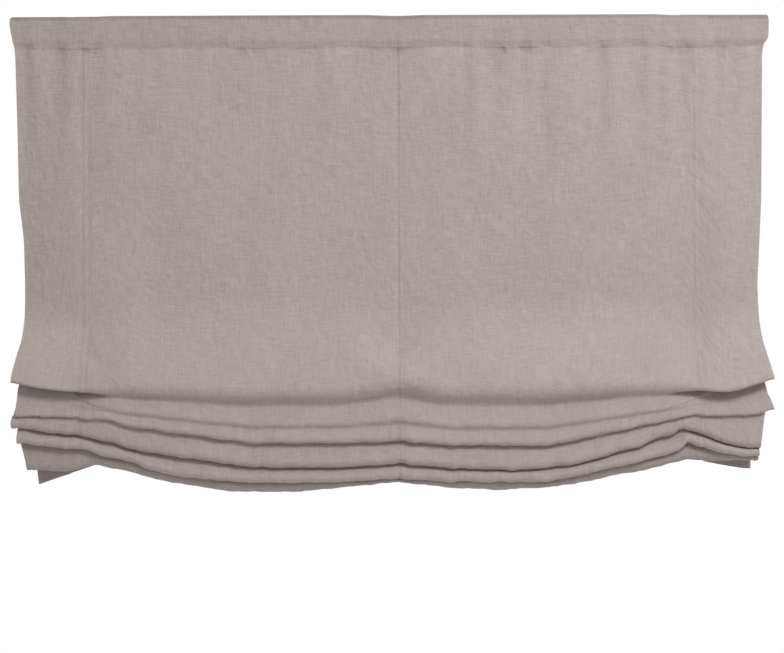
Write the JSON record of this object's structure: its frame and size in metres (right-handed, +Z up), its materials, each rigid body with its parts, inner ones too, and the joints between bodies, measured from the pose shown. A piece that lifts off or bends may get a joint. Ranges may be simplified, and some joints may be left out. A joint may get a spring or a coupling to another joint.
{
  "type": "roman blind",
  "caption": "Relaxed roman blind in washed linen, partly raised, with soft drooping folds, on a rail with lift cords and a chain-driven shaft.",
  "frame": {"origin": "the middle wall screw hole, on the wall side of its bracket plate", "axes": "+X along the rail to the right as seen from the room, +Y into the wall, +Z up"},
  "size_m": [1.438, 0.1026, 0.8965],
  "materials": {
    "linen": "washed linen, plain weave with slubs, greyish taupe",
    "white_rail": "white powder coat on extruded aluminium",
    "white_plastic": "moulded, satin",
    "clear_plastic": "moulded, slightly milky",
    "cleat_plastic": "moulded, satin",
    "touch_tape": "woven hook and loop tape",
    "sewn_tape": "narrow woven tape",
    "cord": "braided polyester",
    "zinc_steel": "zinc plated",
    "bright_steel": "plain steel"
  },
  "bodies": {
    "blind": {"blind_cloth": "linen", "bracket_plate_left": "zinc_steel", "bracket_plate_middle": "zinc_steel", "bracket_plate_right": "zinc_steel", "bracket_rivets": "zinc_steel", "brake_spring": "bright_steel", "cord_adjuster_left": "cleat_plastic", "cord_adjuster_middle": "cleat_plastic", "cord_adjuster_right": "cleat_plastic", "drive_cover": "white_plastic", "drive_housing": "white_plastic", "drum_cradles": "white_plastic", "end_cap": "white_plastic", "headrail": "white_rail", "hook_tape": "touch_tape", "lift_cord_left": "cord", "lift_cord_middle": "cord", "lift_cord_right": "cord", "loop_tape": "touch_tape", "ring_tape_left": "sewn_tape", "ring_tape_middle": "sewn_tape", "ring_tape_right": "sewn_tape", "rings_left": "clear_plastic", "rings_middle": "clear_plastic", "rings_right": "clear_plastic"},
    "shaft": {"drive_shaft": "bright_steel", "cord_drums": "white_plastic", "cord_windings": "cord", "chain_wheel": "white_plastic"},
    "lever_left": {"bracket_lever_left": "white_plastic"},
    "lever_middle": {"bracket_lever_middle": "white_plastic"},
    "lever_right": {"bracket_lever_right": "white_plastic"}
  },
  "joints": [
    {"name": "shaft_turn", "type": "hinge", "parent": "blind", "child": "shaft", "pos_m": [0, -0.023, 0.002], "axis": [1, 0, 0], "continuous": true},
    {"name": "lever_left_swing", "type": "hinge", "parent": "blind", "child": "lever_left", "pos_m": [-0.6, -0.0044, -0.0295], "axis": [0, 1, 0], "range_deg": [0, 90]},
    {"name": "lever_middle_swing", "type": "hinge", "parent": "blind", "child": "lever_middle", "pos_m": [0, -0.0044, -0.0295], "axis": [0, 1, 0], "range_deg": [0, 90]},
    {"name": "lever_right_swing", "type": "hinge", "parent": "blind", "child": "lever_right", "pos_m": [0.6, -0.0044, -0.0295], "axis": [0, 1, 0], "range_deg": [0, 90]}
  ]
}
